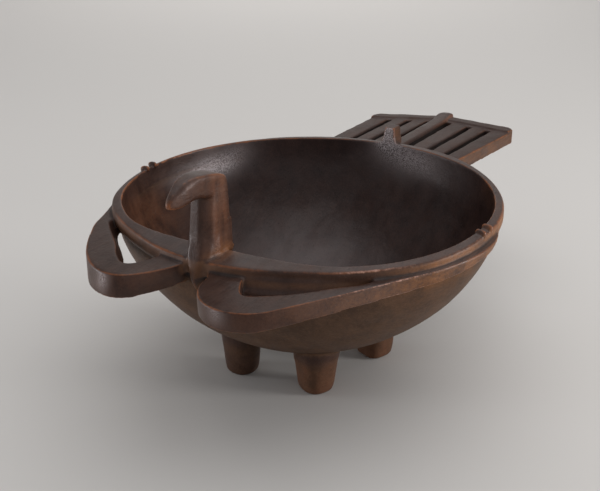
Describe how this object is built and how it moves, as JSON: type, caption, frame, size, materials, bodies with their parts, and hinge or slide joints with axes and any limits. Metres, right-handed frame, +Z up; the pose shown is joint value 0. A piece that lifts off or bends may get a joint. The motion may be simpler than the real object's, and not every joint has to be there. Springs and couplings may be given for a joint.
{
  "type": "carved wooden bowl",
  "caption": "Round footed bowl carved as a bird, with an upright hooked head, looped flat wings beside the rim and a slatted tail.",
  "frame": {"origin": "bottom centre of the part's bounding box, on the plane its feet rest on; the bowl's own axis is upright and about 67 mm towards the head from it", "axes": "+Z up; -Y towards the bird's head; +Y towards its tail; +X towards the bird's left wing"},
  "size_m": [0.3668, 0.5926, 0.249],
  "materials": {
    "dark_polished_wood": "hand-polished, dark patina",
    "red_brown_wood": "satin, handled",
    "worn_wood": "satin, worn to tan at the edges",
    "slat_wood": "matt, dry"
  },
  "bodies": {
    "root": {"bowl_vessel": "dark_polished_wood", "foot_front_left": "red_brown_wood", "foot_front_right": "red_brown_wood", "foot_rear_left": "red_brown_wood", "foot_rear_right": "red_brown_wood", "head_and_beak": "red_brown_wood", "keel": "worn_wood", "neck": "red_brown_wood", "rear_lug": "worn_wood", "rim_band": "worn_wood", "rim_bar_left_1": "worn_wood", "rim_bar_left_2": "worn_wood", "rim_bar_right_1": "worn_wood", "rim_bar_right_2": "worn_wood", "tail_end_bar": "slat_wood", "tail_panel": "slat_wood", "tail_rib": "worn_wood", "wing_left": "dark_polished_wood", "wing_right": "dark_polished_wood"}
  },
  "joints": []
}
